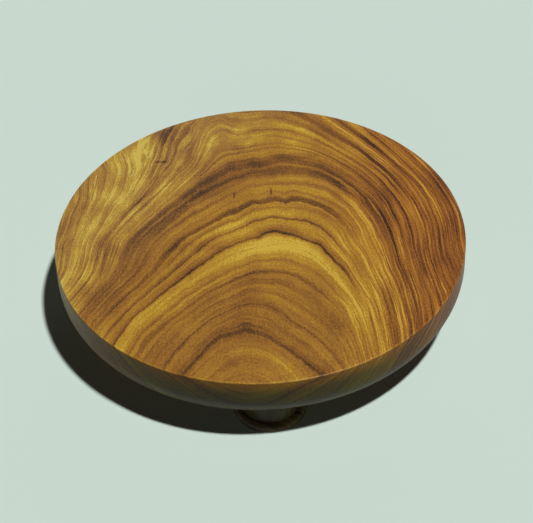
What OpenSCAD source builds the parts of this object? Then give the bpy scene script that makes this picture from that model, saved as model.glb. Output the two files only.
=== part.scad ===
// Chakla: a round wooden rolling board on three short turned legs.
// Millimetres, +Z up. The origin is on the board's axis, at the level that the legs stand on.

/* [Board] */
// Diameter of the board
board_d = 254; // [190:1:340]
// Thickness of the board
board_t = 30; // [25:0.5:45]
// Height of the upright part of the rim, with the eased edge
band_h = 14; // [3:0.5:20]
// How far the curve below it draws in to the flat underside
curve_in = 11.5; // [5:0.5:16]
// Radius that eases the top edge
edge_r = 0.8; // [0.4:0.1:2]

/* [Legs] */
// Distance from a leg's axis to the rim of the board
leg_inset = 29.5; // [29:0.5:44]
// Height of a leg from the table to the underside of the board
leg_h = 20; // [16:0.5:40]
// Diameter of the flange at the base of a leg
flange_d = 44; // [43.5:0.5:50]
// Thickness of the flange
flange_h = 4.4; // [4.3:0.1:8]
// How far down from its top the flange is rounded
round_h = 3.4; // [0.5:0.1:3.5]
// How far in from its rim the flange is rounded
round_in = 3.6; // [1:0.1:3.9]
// Radius that eases the flange's lower edge
foot_r = 0.8; // [0.3:0.1:0.9]
// Diameter of a leg where it meets the board, and at the barrel's lower end
neck_d = 36; // [29:0.5:36.5]
// Diameter of the barrel at its widest
barrel_d = 37; // [36.5:0.5:41]
// Depth of the groove between flange and barrel, in from the neck's diameter
groove_in = 0.8; // [0.4:0.1:2]
// Height of the groove
groove_h = 1.2; // [0.8:0.1:2.5]

/* [Spigots] */
// Diameter of the spigot on top of a leg
spigot_d = 18; // [14:0.5:22]
// Length of the spigot
spigot_l = 9; // [6:0.5:12]
// Room left for glue round the spigot, on the radius
glue_gap = 0.1; // [0.05:0.05:0.2]
// Room left for glue above the spigot
socket_gap = 0.8; // [0.3:0.1:1.5]

/* [Screws] */
// Outer diameter of the screw's shank and thread
screw_d = 4.5; // [4:0.1:5.5]
// Diameter of the screw's core, at the bottom of the thread
core_d = 3; // [2.4:0.1:3.4]
// Length of the screw, from the face of its head to its tip
screw_l = 30; // [26:0.5:34]
// How far the screw's tip stands above the underside of the board
screw_bite = 18; // [15:0.5:22]
// Length of the screw's point
point_l = 5; // [3:0.5:6]
// Length of thread below the point
thread_l = 12; // [8:1:16]
// Distance from one ridge of the thread to the next
thread_pitch = 2; // [1.6:0.1:2.4]
// Diameter of the screw's head
head_d = 8.8; // [8:0.1:9.4]
// Height of the straight rim of the head
head_rim = 0.6; // [0.3:0.1:1]
// Width of the arms of the cross in the head
cross_w = 1.1; // [0.8:0.1:1.4]
// Length of the cross from tip to tip
cross_l = 4.8; // [3.6:0.1:5]
// Depth of the cross
cross_h = 1.9; // [1.2:0.1:2]
// Diameter of the counterbore in the base of a leg
counterbore_d = 11; // [10:0.5:14]
// Room round the screw's shank in a leg, on the radius
shank_gap = 0.4; // [0.2:0.1:0.6]
// Room between the screw and the wood that its thread and head bed in, on the radius
bed_gap = 0.05; // [0.02:0.01:0.1]

/* [Hidden] */

// Where the legs stand, in degrees round the board's axis
front_angle = -90;
rear_left_angle = 150;
rear_right_angle = 30;

// Steps in a large and in a small rounding of a turned profile
CURVE_STEPS = 16;
EDGE_STEPS = 6;
// How far a cut runs past the face that it opens
past = 1;

board_r = board_d / 2;
top_z = leg_h + board_t;
leg_circle_r = board_r - leg_inset;
socket_h = spigot_l + socket_gap;

// The tip's height in the board sets how deep the head lies in the leg
tip_z = leg_h + screw_bite;
head_z = tip_z - screw_l;
// A countersunk head of 90 degrees tapers by as much as its radius shrinks
taper_h = (head_d - screw_d) / 2;

// Points of an elliptical arc about a centre, from angle a to angle b
function arc(centre, rx, ry, a, b, steps, first = 0) = [
    for (i = [first:steps])
        let (t = a + (b - a) * i / steps)
        [centre[0] + rx * cos(t), centre[1] + ry * sin(t)]
];

// Moves a shape from the Z axis to where a leg stands
module at_leg(angle) {
    rotate([0, 0, angle])
        translate([leg_circle_r, 0, 0])
            children();
}

// Half section of the board: flat underside, curve, upright band, eased edge, flat top
module board_section() {
    polygon(concat(
        [[0, leg_h]],
        arc([board_r - curve_in, top_z - band_h], curve_in, board_t - band_h, -90, 0, CURVE_STEPS),
        arc([board_r - edge_r, top_z - edge_r], edge_r, edge_r, 0, 90, EDGE_STEPS),
        [[0, top_z]]
    ));
}

// The board, with a blind socket for each leg and the bed that each screw has cut for itself
module board() {
    color("peru")
        difference() {
            rotate_extrude($fn = 180) board_section();
            for (angle = [front_angle, rear_left_angle, rear_right_angle])
                at_leg(angle) {
                    translate([0, 0, leg_h - past])
                        cylinder(h = socket_h + past, r = spigot_d / 2 + glue_gap, $fn = 48);
                    screw_body(bed_gap);
                }
        }
}

// Half section of a leg: flange, groove, barrel that swells and draws in again, spigot
module leg_section() {
    neck_r = neck_d / 2;
    barrel_z = flange_h + groove_h;
    barrel_half = (leg_h - barrel_z) / 2;
    polygon(concat(
        [[0, 0]],
        arc([flange_d / 2 - foot_r, foot_r], foot_r, foot_r, -90, 0, EDGE_STEPS),
        arc([flange_d / 2 - round_in, flange_h - round_h], round_in, round_h, 0, 90, CURVE_STEPS),
        arc([neck_r, flange_h + groove_h / 2], groove_in, groove_h / 2, 270, 90, EDGE_STEPS),
        arc([neck_r, barrel_z + barrel_half], barrel_d / 2 - neck_r, barrel_half, -90, 90,
            CURVE_STEPS, first = 1),
        [[spigot_d / 2, leg_h], [spigot_d / 2, leg_h + spigot_l], [0, leg_h + spigot_l]]
    ));
}

// A turned leg, counterbored and countersunk from below, with a clear hole for the screw's shank
module leg(angle) {
    color("saddlebrown")
        at_leg(angle)
            difference() {
                rotate_extrude($fn = 96) leg_section();
                translate([0, 0, -past])
                    cylinder(h = head_z + past, d = counterbore_d, $fn = 48);
                screw_body(bed_gap);
                translate([0, 0, head_z + head_rim])
                    cylinder(h = screw_l, r = screw_d / 2 + shank_gap, $fn = 48);
            }
}

// Radius of the screw's core and of its ridges at a distance from the tip, where the point tapers
function taper(distance) = min(1, distance / point_l);

// A wood screw without its cross, point up, grown on the radius by gap for the bed that it lies in.
// Rings stand for the turns of the thread.
module screw_body(gap = 0) {
    core_r = core_d / 2;
    screw_r = screw_d / 2;
    ridges = floor((point_l + thread_l) / thread_pitch);
    ridge_half = thread_pitch / 4;
    thread_end = ridges * thread_pitch + thread_pitch / 2;
    rotate_extrude($fn = 48)
        polygon(concat(
            [[0, tip_z + gap]],
            [for (i = [1:ridges])
                for (side = [-1, 0, 1])
                    let (s = i * thread_pitch + side * ridge_half)
                    [(side == 0 ? screw_r : core_r) * taper(s) + gap, tip_z - s]],
            [[core_r + gap, tip_z - thread_end],
             [screw_r + gap, tip_z - thread_end - (screw_r - core_r)],
             [screw_r + gap, head_z + head_rim + taper_h],
             [head_d / 2 + gap, head_z + head_rim],
             [head_d / 2 + gap, head_z],
             [0, head_z]]
        ));
}

// A countersunk wood screw, driven up through a leg into the board
module screw(angle) {
    color("silver")
        at_leg(angle)
            difference() {
                screw_body();
                for (turn = [0, 90])
                    rotate([0, 0, turn])
                        translate([-cross_l / 2, -cross_w / 2, head_z - past])
                            cube([cross_l, cross_w, cross_h + past]);
            }
}

module leg_front() {
    leg(front_angle);
}

module leg_rear_left() {
    leg(rear_left_angle);
}

module leg_rear_right() {
    leg(rear_right_angle);
}

module screw_front() {
    screw(front_angle);
}

module screw_rear_left() {
    screw(rear_left_angle);
}

module screw_rear_right() {
    screw(rear_right_angle);
}

board();
leg_front();
leg_rear_left();
leg_rear_right();
screw_front();
screw_rear_left();
screw_rear_right();
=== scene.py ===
import math

import bmesh
import bpy
import numpy as np
from mathutils import Matrix, Vector
from mathutils.geometry import delaunay_2d_cdt


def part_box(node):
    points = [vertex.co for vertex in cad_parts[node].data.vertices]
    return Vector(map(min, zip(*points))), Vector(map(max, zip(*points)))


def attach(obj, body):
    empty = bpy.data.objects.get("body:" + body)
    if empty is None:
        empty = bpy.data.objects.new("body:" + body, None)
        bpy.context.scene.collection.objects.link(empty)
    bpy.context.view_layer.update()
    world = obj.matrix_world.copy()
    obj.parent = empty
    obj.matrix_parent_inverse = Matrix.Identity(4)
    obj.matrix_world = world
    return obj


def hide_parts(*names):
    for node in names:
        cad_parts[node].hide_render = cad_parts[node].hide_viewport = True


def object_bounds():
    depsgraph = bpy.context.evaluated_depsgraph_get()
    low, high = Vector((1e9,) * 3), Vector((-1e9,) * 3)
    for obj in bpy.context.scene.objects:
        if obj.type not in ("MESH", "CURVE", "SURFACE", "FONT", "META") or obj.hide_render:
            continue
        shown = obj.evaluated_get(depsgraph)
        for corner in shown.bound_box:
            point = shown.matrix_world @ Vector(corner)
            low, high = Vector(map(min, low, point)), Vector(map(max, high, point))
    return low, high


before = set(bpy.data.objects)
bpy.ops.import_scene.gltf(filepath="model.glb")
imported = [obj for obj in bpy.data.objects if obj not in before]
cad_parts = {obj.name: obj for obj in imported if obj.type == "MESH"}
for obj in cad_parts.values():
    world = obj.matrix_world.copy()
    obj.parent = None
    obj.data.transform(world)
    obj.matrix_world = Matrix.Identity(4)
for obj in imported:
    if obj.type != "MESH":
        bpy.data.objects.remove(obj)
cad_low, cad_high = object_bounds()

# The camera. It stands in front of the board and a little to its left, and looks down on it at
# the photograph's angle, with a long lens. It is held a little askew, so the board leans left.
view_distance = 1.143        # to the middle of the board's top, in metres
view_elevation = 41.49       # degrees above the table
view_azimuth = -1.1          # degrees round the board, from the front
view_roll = 2.5              # degrees that the camera leans to the right
aim_right = 0.0041           # how far the lens points right of the middle of the top, and below it
aim_down = 0.0161
lens_length = 124.65         # millimetres, as is the width of the sensor
sensor_width = 36
nearest, furthest = 0.01, 50           # metres from the camera, between which things show

top_middle = Vector((0, 0, cad_high.z))
turn = Matrix.Rotation(math.radians(view_azimuth), 3, "Z")
tilt = math.radians(view_elevation)
sight = turn @ Vector((0, -math.cos(tilt), math.sin(tilt)))
lean = Matrix.Rotation(math.radians(-view_roll), 3, sight)
camera_right = lean @ turn @ Vector((1, 0, 0))
camera_up = sight.cross(camera_right)
stand = top_middle + sight * view_distance
aim = top_middle + camera_right * aim_right - camera_up * aim_down
backward = (stand - aim).normalized()
rightward = camera_up.cross(backward).normalized()

camera = bpy.data.objects.new("camera", bpy.data.cameras.new("camera"))
camera.data.lens = lens_length
camera.data.sensor_width = sensor_width
camera.data.clip_start, camera.data.clip_end = nearest, furthest
camera.matrix_world = Matrix.Translation(stand) @ Matrix(
    (rightward, backward.cross(rightward), backward)).transposed().to_4x4()
bpy.context.scene.collection.objects.link(camera)
bpy.context.scene.camera = camera
bpy.context.scene.view_settings.view_transform = "Standard"

# The table and the light. The table is one plain pale surface with a pale wall far behind it.
# A lamp above, a little to the right and in front, throws a short shadow. Weak ones low in front
# and behind reach the rim and the legs, and one that shines up through the table, the underside.
table_colour = (0.66, 0.78, 0.70)
table_bounce = (0.020, 0.026, 0.018)   # what the table sends back as light on the board
table_half = 12.0            # half its width, in metres
wall_fade = (0.2, 0.6)       # a mirror sees the wall end between these sines of the height above level
room_light = 0.002           # light from all round, as a share of full light
key_tilt = (15.3, 12.0)      # degrees that the main lamp leans right and to the front
key_power, key_width = 2.85, 3.5       # watts on a square metre, and degrees across
front_tilt, back_tilt = (-45.0, 76.0), (45.0, -76.0)
front_power, back_power, under_power = 0.15, 0.18, 0.12
weak_width = 40.0            # degrees across, so the weak lamps throw no edge


class Wire:
    """A value in a material. Sums, products and powers of wires add Math nodes."""

    def __init__(self, paint, socket):
        self.paint, self.socket = paint, socket

    def math(self, operation, *others):
        return self.paint.node("Math", {"operation": operation}, dict(enumerate((self, *others))))

    def reflected(self, operation, other):
        return self.paint.node("Math", {"operation": operation}, {0: other, 1: self})

    def __add__(self, other):
        return self.math("ADD", other)

    def __sub__(self, other):
        return self.math("SUBTRACT", other)

    def __mul__(self, other):
        return self.math("MULTIPLY", other)

    def __truediv__(self, other):
        return self.math("DIVIDE", other)

    def __pow__(self, other):
        return self.math("POWER", other)

    def __rsub__(self, other):
        return self.reflected("SUBTRACT", other)

    def __rtruediv__(self, other):
        return self.reflected("DIVIDE", other)

    __radd__, __rmul__ = __add__, __mul__


class Paint:
    """A node tree that is being filled, for a material or for the world."""

    def __init__(self, owner):
        owner.use_nodes = True
        self.owner, self.tree = owner, owner.node_tree
        self.tree.nodes.clear()

    def node(self, kind, settings=None, inputs=None, output=0):
        """Adds a node and gives back one of its outputs. Its settings come first, then a value or a
        wire for each named or numbered input."""
        node = self.tree.nodes.new("ShaderNode" + kind)
        for name, value in (settings or {}).items():
            if name == "stops":
                self.set_stops(node.color_ramp, value)
            else:
                setattr(node, name, value)
        for name, value in (inputs or {}).items():
            if isinstance(value, Wire):
                self.tree.links.new(value.socket, node.inputs[name])
            else:
                node.inputs[name].default_value = value
        return Wire(self, node.outputs[output])

    def set_stops(self, ramp, stops):
        """Gives a colour ramp its stops, a list of place and colour, smoothly joined."""
        ramp.interpolation = "EASE"
        while len(ramp.elements) < len(stops):
            ramp.elements.new(1.0)
        for element, (place, colour) in zip(ramp.elements, stops):
            element.position, element.color = place, (*colour, 1.0)

    def mix(self, factor, first, second, blend="MIX"):
        """A colour between two colours, or their blend, by the factor from 0 to 1."""
        return self.node("Mix", {"data_type": "RGBA", "blend_type": blend},
                         {0: factor, 6: first, 7: second}, output=2)

    def step(self, value, low, high):
        """0 where the value is under low, 1 over high, and a smooth slope between."""
        return self.node("MapRange", {"interpolation_type": "SMOOTHSTEP"},
                         {0: value, 1: low, 2: high, 3: 0.0, 4: 1.0})

    def curve(self, value, *stops):
        """A level that runs smoothly from stop to stop, each a place and a level of 0 or more."""
        low, high = stops[0][0], stops[-1][0]
        most = max(level for _, level in stops)
        shares = [((place - low) / (high - low), (level / most,) * 3) for place, level in stops]
        return self.node("ValToRGB", {"stops": shares}, {0: (value - low) / (high - low)}) * most

    def split(self, vector):
        """The x, y and z of a vector."""
        parts = self.node("SeparateXYZ", inputs={0: vector}).socket.node.outputs
        return [Wire(self, part) for part in parts]

    def noise(self, vector, stretch, detail=2.0):
        """Soft noise about one half. Its grains lie 1 / stretch apart along each axis."""
        scaled = self.node("VectorMath", {"operation": "MULTIPLY"}, {0: vector, 1: stretch})
        return self.node("TexNoise", inputs={"Vector": scaled, "Scale": 1.0, "Detail": detail})

    def finish(self, shader):
        """Joins the shader to the output, and gives back the material or world."""
        kind = "World" if isinstance(self.owner, bpy.types.World) else "Material"
        output = self.tree.nodes.new("ShaderNodeOutput" + kind)
        self.tree.links.new(shader.socket, output.inputs["Surface"])
        return self.owner


def lamp(name, right, front, power, width, up=1):
    """A distant lamp that leans right and to the front of straight up by those angles in degrees.
    It shines from below where up is -1."""
    light = bpy.data.lights.new(name, "SUN")
    light.energy, light.angle = power, math.radians(width)
    place = bpy.data.objects.new(name, light)
    towards = Vector((math.tan(math.radians(right)), -math.tan(math.radians(front)), up))
    place.rotation_euler = towards.to_track_quat("Z", "Y").to_euler()
    bpy.context.scene.collection.objects.link(place)


lamp("key", *key_tilt, key_power, key_width)
lamp("low_front", *front_tilt, front_power, weak_width)
lamp("low_back", *back_tilt, back_power, weak_width)
lamp("under", 0, 0, under_power, weak_width, up=-1)

RAYS_SEEN = ("Is Camera Ray", "Is Glossy Ray", "Is Transmission Ray")
sky = Paint(bpy.data.worlds.new("studio"))
ray = sky.tree.nodes.new("ShaderNodeLightPath")
_, _, height = sky.split(sky.node("TexCoord", output="Generated"))
eye, *mirrored = [Wire(sky, ray.outputs[kind]) for kind in RAYS_SEEN]
pale = eye + sum(mirrored) * (1 - sky.step(height, *wall_fade))
glow = sky.mix(pale, (room_light, room_light, room_light, 1), (*table_colour, 1))
bpy.context.scene.world = sky.finish(sky.node("Background", inputs={"Color": glow}))

# The table can be looked through from below, and lets the lamp below shine through it, so that the
# underside of the board can be seen.
corners = [(-table_half, -table_half, 0), (table_half, -table_half, 0),
           (table_half, table_half, 0), (-table_half, table_half, 0)]
table = bpy.data.objects.new("table", bpy.data.meshes.new("table"))
table.data.from_pydata(corners, [], [(0, 1, 2, 3)])
bpy.context.scene.collection.objects.link(table)
pale_top = Paint(bpy.data.materials.new("table"))
ray = pale_top.tree.nodes.new("ShaderNodeLightPath")
seen = sum(Wire(pale_top, ray.outputs[kind]) for kind in RAYS_SEEN)
top_side = pale_top.node("BsdfDiffuse", inputs={
    "Color": pale_top.mix(seen, (*table_bounce, 1), (*table_colour, 1))})
to_lamp = Wire(pale_top, ray.outputs["Is Shadow Ray"])
see_through = pale_top.node("NewGeometry", output="Backfacing") + to_lamp
table.data.materials.append(pale_top.finish(pale_top.node(
    "MixShader", inputs={0: see_through, 1: top_side, 2: pale_top.node("BsdfTransparent")})))

# The board. It is one flat-sawn slab of solid wood, turned round on a lathe: flat on top, upright
# at the rim, with a curve below and a flat underside. Three blind sockets in the underside take
# the legs, and each goes on as the narrow hole that the leg's screw has cut.
board_low, board_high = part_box("board")
board_r = board_high.x       # metres, as all the sizes of the pieces
band_h = 0.014               # the upright part of the rim, with the eased edge
curve_in = 0.0115            # how far the curve below it draws in to the flat underside
edge_r = 0.0008              # the rounding of the top edge
socket_r, socket_h = 0.0091, 0.0098
screw_hole_r = 0.0023
screw_hole_h = 0.018         # from the underside of the board to the end of the screw's point
screw_point_h = 0.005
leg_inset = 0.0295           # from the rim to a leg's axis
leg_angles = {"front": -90.0, "rear_left": 150.0, "rear_right": 30.0}    # degrees round the board
BOARD_TURNS, SOCKET_TURNS = 360, 48          # points in each ring of a turned surface
EDGE_POINTS, CURVE_POINTS = 9, 33            # points in the arcs of its outline
weld_distance = 2e-6         # points closer than this are made one
sharp_angle = 32             # degrees between faces, from which an edge is left sharp


def arc(r, z, across, up, start, end, count):
    """A count of points (r + across cos t, z + up sin t), for t from start to end in degrees."""
    t = np.radians(np.linspace(start, end, count))
    return np.stack([r + across * np.cos(t), z + up * np.sin(t)], -1)


def straight(*corners, step=0.003):
    """Points along straight lines from corner to corner, about a step apart."""
    runs = []
    for (r0, z0), (r1, z1) in zip(corners, corners[1:]):
        count = 2 + int(math.hypot(r1 - r0, z1 - z0) / step)
        runs.append(np.stack([np.linspace(r0, r1, count), np.linspace(z0, z1, count)], -1))
    return np.concatenate(runs)


def round_axis(r, z, t):
    """Rings of points (r cos t, r sin t, z), one ring a row of r, joined by four-sided faces.
    The faces look to the left of the way that r and z run in their plane."""
    points = np.stack(np.broadcast_arrays(r * np.cos(t), r * np.sin(t), z), -1)
    rings, turns = points.shape[:2]
    i, j = np.meshgrid(np.arange(rings - 1), np.arange(turns), indexing="ij")
    here, beside = i * turns + j, i * turns + (j + 1) % turns
    faces = np.stack([here, here + turns, beside + turns, beside], -1)
    return points.reshape(-1, 3), faces.reshape(-1, 4)


def lathe(*runs, turns):
    """The points (r, z) of the outline's runs, one after another, go round the Z axis."""
    r, z = np.concatenate(runs).T
    return round_axis(r[:, None], z[:, None], np.arange(turns) * 2 * np.pi / turns)


def at_leg(points, angle):
    """Points round the Z axis go to where a leg stands: turned by the angle, and out to its circle."""
    a, out = math.radians(angle), board_r - leg_inset
    x, y, z = (points + (out, 0, 0)).T
    return np.stack([x * math.cos(a) - y * math.sin(a), x * math.sin(a) + y * math.cos(a), z], -1)


def plate(outline, holes, z):
    """The flat face between an outline and equal round holes in it, looking down. Triangles join
    their points, and those whose middle lies within a hole are left out."""
    loops = [outline, *holes]
    starts = np.cumsum([0] + [len(loop) for loop in loops])
    flat = np.concatenate(loops)[:, :2]
    edges = [(start + k, start + (k + 1) % len(loop))
             for start, loop in zip(starts, loops) for k in range(len(loop))]
    inside_outline, least_gap = 1, 1e-9
    found, _, faces, *_ = delaunay_2d_cdt(
        [Vector(p) for p in flat], edges, [], inside_outline, least_gap)
    points, faces = np.array([(*p, z) for p in found]), np.array(faces)
    middle = points[faces].mean(axis=1)
    centres = np.array([hole.mean(axis=0)[:2] for hole in holes])
    apart = np.linalg.norm(middle[:, None, :2] - centres, axis=-1).min(axis=1)
    radius = np.linalg.norm(holes[0][0][:2] - centres[0])
    return points, faces[apart > radius][:, ::-1]


def piece(name, slot, *surfaces):
    """One closed mesh from surfaces that meet edge to edge, each its points and its faces. Where
    they meet, their points are made one. It rides on the one body."""
    starts = np.cumsum([0] + [len(points) for points, _ in surfaces])
    corners = [(faces + start).tolist() for start, (_, faces) in zip(starts, surfaces)]
    mesh = bpy.data.meshes.new(name)
    mesh.from_pydata(np.concatenate([points for points, _ in surfaces]), [], sum(corners, []))
    welded = bmesh.new()
    welded.from_mesh(mesh)
    bmesh.ops.remove_doubles(welded, verts=welded.verts, dist=weld_distance)
    welded.to_mesh(mesh)
    welded.free()
    mesh.shade_smooth()
    mesh.set_sharp_from_angle(angle=math.radians(sharp_angle))
    made = bpy.data.objects.new(name, mesh)
    bpy.context.scene.collection.objects.link(made)
    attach(made, "root")
    return made


top_z, under_z = board_high.z, board_low.z
flat_r = board_r - curve_in
slab = lathe(
    straight((0, top_z), (board_r - edge_r, top_z), step=0.006),
    arc(board_r - edge_r, top_z - edge_r, edge_r, edge_r, 90, 0, EDGE_POINTS),
    straight((board_r, top_z - edge_r), (board_r, top_z - band_h), step=0.001),
    arc(flat_r, top_z - band_h, curve_in, top_z - band_h - under_z, 0, -90, CURVE_POINTS),
    turns=BOARD_TURNS)
socket = lathe(
    straight((socket_r, under_z), (socket_r, under_z + socket_h), (screw_hole_r, under_z + socket_h)),
    straight((screw_hole_r, under_z + screw_hole_h - screw_point_h), (0, under_z + screw_hole_h)),
    turns=SOCKET_TURNS)
sockets = [(at_leg(socket[0], angle), socket[1]) for angle in leg_angles.values()]
underside = plate(slab[0][-BOARD_TURNS:], [points[:SOCKET_TURNS] for points, _ in sockets], under_z)
board = piece("board_turned", "board_wood", slab, underside, *sockets)
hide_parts("board")

# The board's wood, as it would be marked out on its top: x to the right and y away from the front,
# in radii of the board. The plank leans a little in the photograph, so the grain is turned.
grain_turn = 1.1             # degrees
ring_dip = 2.35              # how steeply the rings go down into the board
# The rings show on the top as arches that are open to the front. Their crest is a strip between
# two sides, and the arches bow away from each side of it.
crest_right = [(-.3, .04), (.35, .17), (.95, .06)]     # its right side: at each y, how far right
crest_left = 0.05
crest_run = .13              # how far it runs off to the left towards the front
bow_right = 2.05             # how strongly the arches bow on the right
bow_right_back, bow_right_front = .25, 2.6     # what the back and the front add to that
bow_right_relief = 3         # how much less the front adds, the further right
bow_left = [(-.35, 1.25), (.05, .97), (.3, .97), (1.0, .1)]    # the same on the left, at each y
bow_left_front, bow_left_reach = 3.0, .4       # what the front adds, and how far left it tells
bow_left_rim = .2            # what the rim on the left adds
slope_left, slope_start = .18, .02             # a straight slope besides, and how softly it starts
peak_x, peak_half, peak_rise = .065, .07, .014         # a slight point on top of the arches
lean_back = .2               # how far the arches are pushed back at the back on the left
outer_shift = .18            # how many radii of rings are passed over on the left, far out
near_black, dark_brown, brown = (46, 33, 18), (98, 65, 32), (138, 91, 39)
golden_brown, gold, pale_yellow = (165, 116, 44), (186, 142, 45), (212, 176, 66)
WOOD_TONES = [(0.0, near_black), (0.2, dark_brown), (0.4, brown),
              (0.6, golden_brown), (0.8, gold), (1.0, pale_yellow)]
# The rings from the heart outwards: how far out, and how pale. Each row goes on from the last.
RINGS = [
    [(-1.0, .60), (-.86, .56), (-.79, .66), (-.72, .54), (-.685, .44), (-.66, .20), (-.64, .36),
     (-.61, .48), (-.58, .54), (-.53, .62), (-.505, .52), (-.49, .34), (-.475, .52), (-.43, .58),
     (-.40, .48), (-.36, .56), (-.32, .48), (-.28, .54), (-.26, .40), (-.24, .54), (-.20, .70),
     (-.185, .62), (-.17, .48), (-.155, .60), (-.12, .68), (-.08, .84), (-.05, .80)],
    [(-.05, .80), (-.02, .76), (-.006, .50), (0.0, .12), (.005, .18), (.016, .45), (.05, .60),
     (.075, .75), (.095, .70), (.106, .32), (.112, .25), (.12, .50), (.155, .75), (.175, .70),
     (.195, .45), (.215, .60), (.228, .68), (.24, .30), (.255, .15), (.272, .30), (.285, .55),
     (.305, .62), (.318, .42), (.335, .60), (.365, .62), (.39, .38), (.41, .55), (.425, .60),
     (.44, .42), (.47, .34)],
    [(.47, .34), (.50, .25), (.53, .38), (.55, .25), (.58, .22), (.60, .34), (.63, .50), (.655, .62),
     (.675, .45), (.69, .60), (.705, .30), (.72, .55), (.76, .60), (.80, .68), (.83, .50),
     (.86, .78), (.885, .72), (.90, .48), (.93, .50), (.955, .58), (.975, .60), (1.0, .35)],
    [(1.0, .35), (1.03, .25), (1.06, .50), (1.10, .60), (1.13, .72), (1.15, .50), (1.18, .40),
     (1.21, .20), (1.23, .25), (1.26, .55), (1.30, .62), (1.34, .50), (1.37, .28), (1.40, .50),
     (1.44, .60), (1.47, .40), (1.50, .30), (1.56, .50), (1.62, .35), (1.70, .50)]]

# Dark marks on the top, in radii: the middle, half the width, half the depth, and how dark.
MARKS = [(-.33, .33, .10, .06, .12), (.02, .54, .09, .06, .14), (.20, .60, .16, .04, .16),
         (-.46, .82, .07, .12, .30), (-.49, .60, .05, .015, .30), (-.57, .64, .06, .05, .15),
         (-.12, .31, .008, .035, .35), (.065, .33, .008, .04, .35), (-.72, -.42, .12, .14, .05),
         (-.30, -.06, .25, .05, .08), (.62, .08, .07, .30, .08)]


# The varnish: how rough it is, how much that varies with the fibres, and how strongly it shines.
varnish_rough, rough_change = .46, .2
varnish_shine, coat_shine, coat_rough = .2, .06, .2
# The fibres under it rise by a part of a millimetre, and a pore is sunk by a share of that.
fibre_rise, fibre_strength, pore_share = .0006, .15, .6


def shade(red, green, blue):
    """A colour as it looks on a screen, up to 255, in the linear form that the nodes take."""
    share = np.array([red, green, blue]) / 255
    return tuple(np.where(share < 0.04045, share / 12.92, ((share + 0.055) / 1.055) ** 2.4))


def arches(paint, x, y):
    """How far out in the tree the wood at x, y grew. On the crest it is y itself. It grows by the
    bow times the square of the way to the right or left of the crest, so a ring is an arch."""
    x = x + paint.step(0 - y, .15, .7) * (1 - paint.step(x, .05, .42)) * crest_run
    right = (x - paint.curve(y, *crest_right)).math("MAXIMUM", 0.0)
    left = (crest_left - x).math("MAXIMUM", 0.0)
    near = (0 - y).math("MAXIMUM", 0.0)
    to_right = (bow_right + paint.step(y, 0.0, .4) * bow_right_back
                + near * near * (bow_right_front - right ** 3 * bow_right_relief))
    to_left = (paint.curve(y, *bow_left)
               + near * bow_left_front / (1 + left * left / bow_left_reach ** 2)
               + paint.step(left, .7, 1.0) * bow_left_rim * (1 - paint.step(y, 0.0, .5)))
    slope = (((left * left + slope_start ** 2) ** .5 - slope_start) * slope_left
             * paint.step(y, -.4, 0.0))
    peak = ((1 - (x - peak_x).math("ABSOLUTE") / peak_half).math("MAXIMUM", 0.0) * peak_rise
            * paint.step(y, -.1, .02) * (1 - paint.step(y, .3, .5)))
    lean = (paint.step(y, .45, 1.05) * paint.step(left, .12, .34)
            * (1 - paint.step(left, .42, .62) * .6) * lean_back)
    out = y + right * right * to_right + left * left * to_left + slope - peak - lean
    return out + paint.step(out, .54, .74) * paint.step(left, .2, .4) * outer_shift


def ring_tone(paint, out):
    """How pale the wood is, from 0 to 1, in the ring that lies so far out."""
    tone = paint.curve(out, *RINGS[0])
    for row in RINGS[1:]:
        tone = tone + paint.curve(out, *row) - row[0][1]
    return tone


def varnished(paint, tone, tint, fibres, pores):
    """Wood of that tone and tint, with fine raised fibres and open pores, under a satin varnish."""
    stops = [(level, shade(*colour)) for level, colour in WOOD_TONES]
    colour = paint.mix(1.0, paint.node("ValToRGB", {"stops": stops}, {0: tone}), tint, "MULTIPLY")
    relief = paint.node("Bump", inputs={
        "Strength": fibre_strength, "Distance": fibre_rise, "Height": fibres - pores * pore_share})
    return paint.finish(paint.node("BsdfPrincipled", inputs={
        "Base Color": colour, "Roughness": varnish_rough + (fibres - .5) * rough_change,
        "Normal": relief, "Specular IOR Level": varnish_shine, "Coat Weight": coat_shine,
        "Coat Roughness": coat_rough}))


wood = Paint(bpy.data.materials.new("board_wood"))
place = wood.node("Mapping", inputs={
    "Vector": wood.node("TexCoord", output="Object"), "Location": (0, 0, -top_z / board_r),
    "Rotation": (0, 0, math.radians(grain_turn)), "Scale": (1 / board_r,) * 3})
x, y, z = wood.split(place)
# The rings waver coarsely and finely: how close the wavers lie, and how far each one moves a ring.
wavers = [((3, 3, 3), .06), ((8, 5, 8), .042), ((26, 14, 26), .022), ((70, 50, 70), .008)]
waver = sum((wood.noise(place, stretch) - .5) * most for stretch, most in wavers)
# To the left behind the middle the grain is wavy, with ripples that lie side by side.
ripple_x, ripple_stretch, ripple_most = -.12, (8, 2.5, 8), .09
wavy = (wood.step(y, .05, .2) * (1 - wood.step(y, .5, .7))
        * (1 - wood.step((x - ripple_x).math("ABSOLUTE"), .2, .42)))
ripples = (wood.noise(place, ripple_stretch, detail=1.0) - .5) * wavy * ripple_most
out = arches(wood, x, y) - z * ring_dip + waver + ripples


def along_rings(rate, run=2.4, detail=3.0):
    """Noise that follows the rings. It changes at the rate out from the heart, and at the run along."""
    grain = wood.node("CombineXYZ", inputs={0: out * rate, 1: x * run, 2: y * run})
    return wood.node("TexNoise", inputs={"Vector": grain, "Scale": 1.0, "Detail": detail})


bands, lines, hairs = along_rings(8.0), along_rings(26.0), along_rings(90.0)
vein = 1 - wood.step((along_rings(26.0, .9, 1.0) - .5).math("ABSOLUTE"), .01, .045)
clouds = wood.noise(place, (7, 5, 7))
drift = wood.noise(place, (2.2, 2.2, 2.2))
fibres = wood.noise(place, (85, 12, 85), detail=3.0)
speckle = wood.noise(place, (120, 80, 120), detail=3.0)
pores = wood.step(wood.noise(place, (170, 45, 170), detail=1.0), .60, .80)
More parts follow.
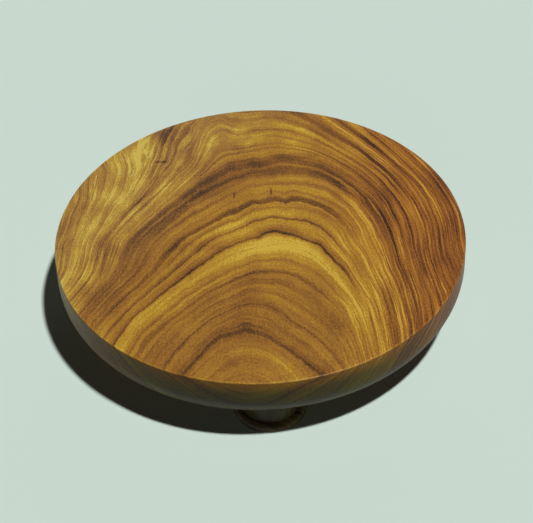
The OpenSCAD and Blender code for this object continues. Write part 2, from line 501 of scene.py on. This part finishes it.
# Parts of the top, by where they lie on it and by how far out their rings are.
right_side = wood.step(x, .25, .6)
back_right = wood.step(x, .2, .45) * wood.step(y, .4, .6)
gold_side = wood.step(x, .28, .5) * (1 - wood.step(out, .42, .49))
brown_side = wood.step(x, .42, .58) * wood.step(out, .44, .52) * (1 - wood.step(y, .3, .55))
pale_side = wood.step(0 - x, .1, .45) * wood.step(out, .60, .74)
pale_band = pale_side * wood.step(out, 1.05, 1.2) * (1 - wood.step(out, 1.38, 1.5))
calm_back = wood.step(out, .62, .72) * (1 - wood.step(x, .1, .4))
calm_front = wood.step(0 - x, .25, .5) * wood.step(0 - y, -.1, .15) * wood.step(out, .02, .06)
gold_middle = (1 - wood.step((x - .06).math("ABSOLUTE"), .15, .4)) * wood.step(out, -.2, -.08)
# In some of them the rings are fainter: the tone that they draw near to, and by what share.
faint = [(.72, gold_side * .75), (.56, (calm_back + pale_side) * .3),
         (.40, brown_side * .6), (.50, calm_front * .5)]
rings = ring_tone(wood, out)
rings = rings + sum((level - rings) * share for level, share in faint)
# The patterns that lie over the rings, and how strongly each shows.
patterns = [(bands, .3 + pale_side * .2), (hairs, .40), (clouds, .35 + calm_back * .5),
            (lines, .45 + right_side * .95 + pale_side * .3 + calm_back * .25),
            (drift, .25), (fibres, .2), (speckle, .7)]
tone = (rings - .02 + sum((pattern - .5) * strength for pattern, strength in patterns)
        + pale_side * .06 + pale_band * .15 + back_right * .07 + gold_middle * .10
        + vein * (right_side * .34 + pale_side * .22 + .04) - pores * .15)
edge_highlight_most = .12              # a painted highlight: the eased edge round the top is made a little paler
edge_highlight = wood.step((x * x + y * y) ** .5, .991, .995) * (1 - wood.step(0 - z, .004, .008))
tone = tone + edge_highlight * edge_highlight_most
for middle_x, middle_y, half_x, half_y, depth in MARKS:
    across = ((x - middle_x) / half_x) ** 2.0 + ((y - middle_y) / half_y) ** 2.0
    tone = tone - (1 - wood.step(across, 0.0, 1.0)) * depth
# The wood is redder on the right. At the back on the left it is greyer, a painted sheen of the
# varnish. Below the top edge, at the front and the back, it is darker and greyer: partly end grain,
# and partly painted shade and a painted reflection of the table on the rim.
plain, red_tint, sheen_tint = (1, 1, 1, 1), (.90, .70, .74, 1), (1.0, 1.12, 1.75, 1)
end_grain_and_shade_tint = (.27, .42, .52, 1)
redden = wood.mix(wood.step(x + wood.step(y, -.5, .1) * .12, .3, .9), plain, red_tint)
# painted sheen: the top is greyer at the back on the left, where the varnish reflects the pale room
back_sheen = wood.mix(wood.step(y * .7 - x, .3, .9), plain, sheen_tint)
# painted shade with a painted reflection, on top of end grain: the rim darker and greyer at the front
# and the back
end_grain_and_shade = wood.step(y.math("ABSOLUTE"), .55, .95) * wood.step(0 - z, .005, .085)
tint = wood.mix(end_grain_and_shade, wood.mix(1.0, redden, back_sheen, "MULTIPLY"), end_grain_and_shade_tint, "MULTIPLY")
board.data.materials.append(varnished(wood, tone, tint, fibres, pores))

# The legs. Each is turned from a square of the same wood with the grain upright: a flange at the
# base, a groove, a barrel that swells a little, and on top a spigot that is glued into its socket.
# The screw goes up through a hole, with its head at the bottom of a counterbore in the base.
leg_h = under_z
flange_r, flange_h = 0.022, 0.0044
round_in, round_h = 0.0036, 0.0034     # how far in from its rim and down the flange is rounded
foot_round = 0.0008          # the rounding of its lower edge
neck_r, barrel_out = 0.018, 0.0005     # where a leg meets the board, and how far the barrel swells
groove_in, groove_h = 0.0008, 0.0012
spigot_r, spigot_h = 0.009, 0.009
counterbore_r, counterbore_h = 0.0055, 0.008
shank_hole_r = 0.00265
head_bed_r, head_rim = 0.00445, 0.0006
LEG_TURNS = 128
BARREL_POINTS, GROOVE_POINTS, ROUND_POINTS, FOOT_POINTS = 33, 17, 25, 7

barrel_z = flange_h + groove_h
barrel_half = (leg_h - barrel_z) / 2
turned_leg = lathe(
    straight((shank_hole_r, leg_h + spigot_h), (spigot_r, leg_h + spigot_h), (spigot_r, leg_h),
             (neck_r, leg_h)),
    arc(neck_r, barrel_z + barrel_half, barrel_out, barrel_half, 90, -90, BARREL_POINTS),
    arc(neck_r, flange_h + groove_h / 2, groove_in, groove_h / 2, 90, 270, GROOVE_POINTS),
    arc(flange_r - round_in, flange_h - round_h, round_in, round_h, 90, 0, ROUND_POINTS),
    arc(flange_r - foot_round, foot_round, foot_round, foot_round, 0, -90, FOOT_POINTS),
    straight((flange_r - foot_round, 0), (counterbore_r, 0), (counterbore_r, counterbore_h),
             (head_bed_r, counterbore_h), (head_bed_r, counterbore_h + head_rim)),
    straight((head_bed_r, counterbore_h + head_rim),
             (shank_hole_r, counterbore_h + head_rim + head_bed_r - shank_hole_r),
             (shank_hole_r, leg_h + spigot_h), step=0.006),
    turns=LEG_TURNS)
heart_out, heart_aside = -0.045, 0.03  # from a leg's axis to the heart of its tree
heart_step = 0.01            # how much further off it was for each leg after the first
leg_rings = 2.2              # how fast the rings follow one another, against the board's
leg_first_ring = -.75        # where a leg's heart lies on the scale of the board's rings
leg_ring_climb = .25         # how much further out they are, one radius of the board higher up
leg_waver_stretch, leg_waver_most = (9, 9, 5), .06
# The legs' tint: their darker wood, greyed towards green by a painted reflection of the pale table.
leg_tint_and_sheen = (.50, .88, 1.9, 1)
flange_painted_light = (.80, 1.25, 2.8, 1)        # painted light: the flange, in the board's shade, is made paler than the barrel
foot_fade = (.033, .05)      # the heights between which that ends, in radii of the board

for number, (where, angle) in enumerate(leg_angles.items()):
    leg = piece(f"leg_{where}_turned", "leg_wood", (at_leg(turned_leg[0], angle), turned_leg[1]))
    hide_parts(f"leg_{where}")
    heart = at_leg(np.array([[heart_out - number * heart_step, heart_aside, 0]]), angle)[0]
    upright = Paint(bpy.data.materials.new(f"leg_wood_{where}"))
    place = upright.node("Mapping", inputs={
        "Vector": upright.node("TexCoord", output="Object"), "Location": tuple(-heart / board_r),
        "Scale": (1 / board_r,) * 3})
    x, y, z = upright.split(place)
    out = ((x * x + y * y) ** .5 * leg_rings + z * leg_ring_climb + leg_first_ring
           + (upright.noise(place, leg_waver_stretch) - .5) * leg_waver_most)
    fibres = upright.noise(place, (90, 90, 10), detail=3.0)
    pores = upright.step(upright.noise(place, (150, 150, 30), detail=1.0), .60, .74)
    foot = 1 - upright.step(z, *foot_fade)
    tone = ring_tone(upright, out) + (fibres - .5) * .35 - pores * .18
    tint = upright.mix(foot, leg_tint_and_sheen, flange_painted_light)
    leg.data.materials.append(varnished(upright, tone, tint, fibres, pores))

# The screws. Each is a countersunk wood screw of zinc-plated steel, driven up through a leg into
# the board: a cross in its head, a plain shank, and a thread that runs out along the point.
screw_tip, screw_length = leg_h + screw_hole_h, 0.030
core_r, screw_r, head_r = 0.0015, 0.00225, 0.0044
thread_pitch, thread_end = 0.002, 0.017        # and how far from the tip the thread ends
ridge_half = 0.25            # half the width of its ridge, against the pitch
cross_reach, cross_half, cross_h = 0.0024, 0.00055, 0.0019
cross_taper = 0.7            # how wide the cross is at its bottom, against its mouth
dull_zinc, bright_zinc = (176, 172, 160), (214, 212, 206)
SCREW_TURNS = 56             # puts an edge on each corner of the cross
THREAD_ROWS = 20             # rows of points in one turn of the thread

# The thread: at the angle t round the screw and the distance s from its tip, a ridge that winds once
# round for each pitch, and sinks away with the point.
t = np.arange(SCREW_TURNS) * 2 * np.pi / SCREW_TURNS
s = np.arange(0, thread_end, thread_pitch / THREAD_ROWS)[:, None]
from_ridge = np.abs((s / thread_pitch - t / (2 * np.pi) + .5) % 1 - .5)
ridge = np.clip(1 - from_ridge / ridge_half, 0, 1) * np.clip((thread_end - s) / thread_pitch, 0, 1)
thread_r = (core_r + (screw_r - core_r) * ridge) * np.clip(s / screw_point_h, 0, 1)
shank = np.array([(core_r, thread_end), (screw_r, thread_end + screw_r - core_r),
                  (screw_r, screw_length - head_rim - head_r + screw_r),
                  (head_r, screw_length - head_rim), (head_r, screw_length)])
# The cross: its edge lies where the ray from the middle meets the end or the side of an arm. Along
# an arm's middle the ray never meets a side, so the sine there is kept off zero.
from_arm = np.abs((t + np.pi / 4) % (np.pi / 2) - np.pi / 4)
least_sine = cross_half / cross_reach / 2
cross_r = np.minimum(cross_reach / np.cos(from_arm),
                     cross_half / np.maximum(np.sin(from_arm), least_sine))
rows_r = np.concatenate([thread_r, np.repeat(shank[:, :1], SCREW_TURNS, 1),
                         [cross_r, cross_r * cross_taper, cross_r * 0]])
rows_s = np.concatenate([s[:, 0], shank[:, 1],
                         [screw_length, screw_length - cross_h, screw_length - cross_h]])
turned_screw = round_axis(rows_r, screw_tip - rows_s[:, None], t)

zinc_stretch, zinc_rise, zinc_strength = (900, 900, 900), .00005, .2
zinc_rough, zinc_rough_change = .28, .2
zinc = Paint(bpy.data.materials.new("screw_steel"))
place = zinc.node("TexCoord", output="Object")
mottle = zinc.noise(place, zinc_stretch, detail=3.0)
steel_tint = zinc.mix(zinc.step(mottle, .35, .7), (*shade(*dull_zinc), 1), (*shade(*bright_zinc), 1))
relief = zinc.node("Bump", inputs={
    "Strength": zinc_strength, "Distance": zinc_rise, "Height": mottle})
steel = zinc.finish(zinc.node("BsdfPrincipled", inputs={
    "Base Color": steel_tint, "Metallic": 1.0, "Normal": relief,
    "Roughness": zinc_rough + mottle * zinc_rough_change}))
for where, angle in leg_angles.items():
    screw = piece(f"screw_{where}_threaded", "screw_steel",
                  (at_leg(turned_screw[0], angle), turned_screw[1]))
    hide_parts(f"screw_{where}")
    screw.data.materials.append(steel)
